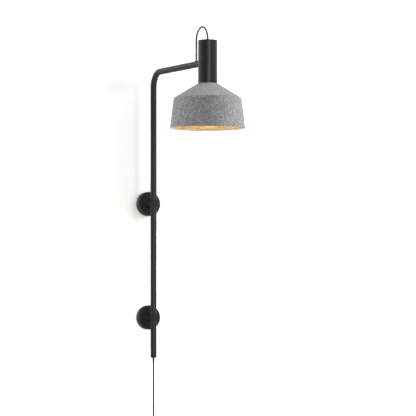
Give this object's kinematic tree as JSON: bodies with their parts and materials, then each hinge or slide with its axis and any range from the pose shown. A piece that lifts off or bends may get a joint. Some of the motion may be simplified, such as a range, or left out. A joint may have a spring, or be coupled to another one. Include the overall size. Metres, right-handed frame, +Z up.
{
  "type": "wall lamp",
  "caption": "Wall lamp: two round wall supports hold a long tube bent into a swinging arm, with a tubular head, cable loop, pressed-felt shade, switched cord and plug.",
  "frame": {"origin": "centre of the upper wall plate's back face, on the wall", "axes": "+Z up, +Y into the wall, so the arm reaches out along -Y; +X to the right seen from the room"},
  "size_m": [0.236, 0.575, 1.4671],
  "materials": {
    "black_metal": "fine matt powder coat",
    "zinc_steel": "zinc plated",
    "dark_steel": "blackened",
    "pin_nickel": "nickel plated",
    "nylon": "natural nylon",
    "black_plastic": "fine moulded texture",
    "switch_rocker": "satin",
    "white_plastic": "satin",
    "cable_black": "matt sheath",
    "brass": "plain",
    "opal_globe": "opal",
    "grey_felt": "pressed felt with mixed fibres"
  },
  "bodies": {
    "wall_supports": {"wall_plate_upper": "zinc_steel", "rosette_upper": "black_metal", "rosette_grubs_upper": "dark_steel", "post_upper": "black_metal", "post_bolt_upper": "zinc_steel", "post_washer_upper": "zinc_steel", "brake_spring_upper": "zinc_steel", "brake_plug_upper": "nylon", "bush_upper": "black_plastic", "wall_plate_lower": "zinc_steel", "rosette_lower": "black_metal", "rosette_grubs_lower": "dark_steel", "post_lower": "black_metal", "post_bolt_lower": "zinc_steel", "post_washer_lower": "zinc_steel", "brake_spring_lower": "zinc_steel", "brake_plug_lower": "nylon", "bush_lower": "black_plastic"},
    "swing_arm": {"stem_tube": "black_metal", "stem_end_plug": "black_plastic", "strain_relief": "cable_black", "cord_stop": "zinc_steel", "stem_cable": "cable_black", "arm_insert": "zinc_steel", "arm_bolt": "zinc_steel", "arm_washer": "zinc_steel", "arm_grommet": "black_plastic", "loop_cable": "cable_black", "head_housing": "black_metal", "head_cap": "black_metal", "cord_grip": "black_plastic", "nipple": "zinc_steel", "nipple_nut": "zinc_steel", "holder_cap": "black_plastic", "holder_skirt": "black_plastic", "holder_core": "white_plastic", "thread_shell": "brass", "centre_contact": "brass", "shade_ring": "black_plastic", "clamp_washer": "zinc_steel", "shade_top": "grey_felt", "shade_side": "grey_felt", "bulb_cap": "zinc_steel", "bulb_collar": "white_plastic", "bulb_globe": "opal_globe", "supply_cord": "cable_black", "switch_back": "black_plastic", "switch_front": "black_plastic", "switch_screws": "zinc_steel", "switch_contacts": "brass", "rocker_pin": "zinc_steel", "cord_lead": "cable_black", "cord_hank": "cable_black", "hank_tie": "black_plastic", "plug_tail": "cable_black", "plug_body": "black_plastic", "plug_pins": "pin_nickel"},
    "switch_rocker": {"rocker": "switch_rocker"}
  },
  "joints": [
    {"name": "arm_swing", "type": "hinge", "parent": "wall_supports", "child": "swing_arm", "pos_m": [0, -0.05, 0], "axis": [0, 0, 1], "range_deg": [-75, 75]},
    {"name": "rocker_press", "type": "hinge", "parent": "swing_arm", "child": "switch_rocker", "pos_m": [0, -0.056, -0.748], "axis": [1, 0, 0], "range_deg": [-16, 0]}
  ]
}
